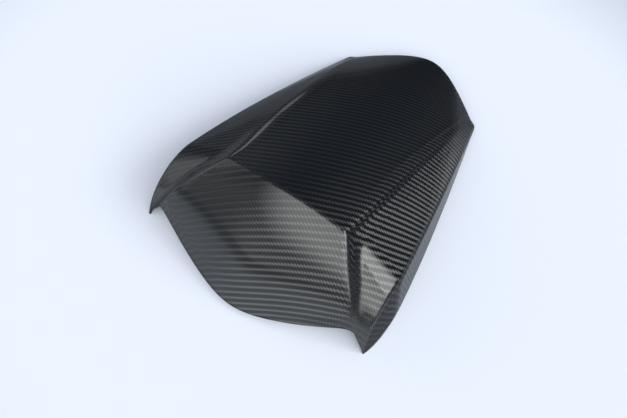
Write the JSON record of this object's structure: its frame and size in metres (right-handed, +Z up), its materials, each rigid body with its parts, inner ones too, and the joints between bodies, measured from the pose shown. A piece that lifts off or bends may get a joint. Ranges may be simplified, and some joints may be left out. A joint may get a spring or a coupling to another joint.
{
  "type": "seat cowl",
  "caption": "Faceted carbon-look seat cowl shell: raked front face with a pointed tongue, tapering ridged deck, side scoops and low side flanges, open underneath",
  "frame": {"origin": "under the middle of the outline, on the surface that the rim rests on", "axes": "+Z up, +Y towards the tail, X across"},
  "size_m": [0.2534, 0.394, 0.1076],
  "materials": {
    "carbon_laminate": "twill carbon fibre under a clear gloss coat"
  },
  "bodies": {
    "root": {"cowl_shell": "carbon_laminate"}
  },
  "joints": []
}
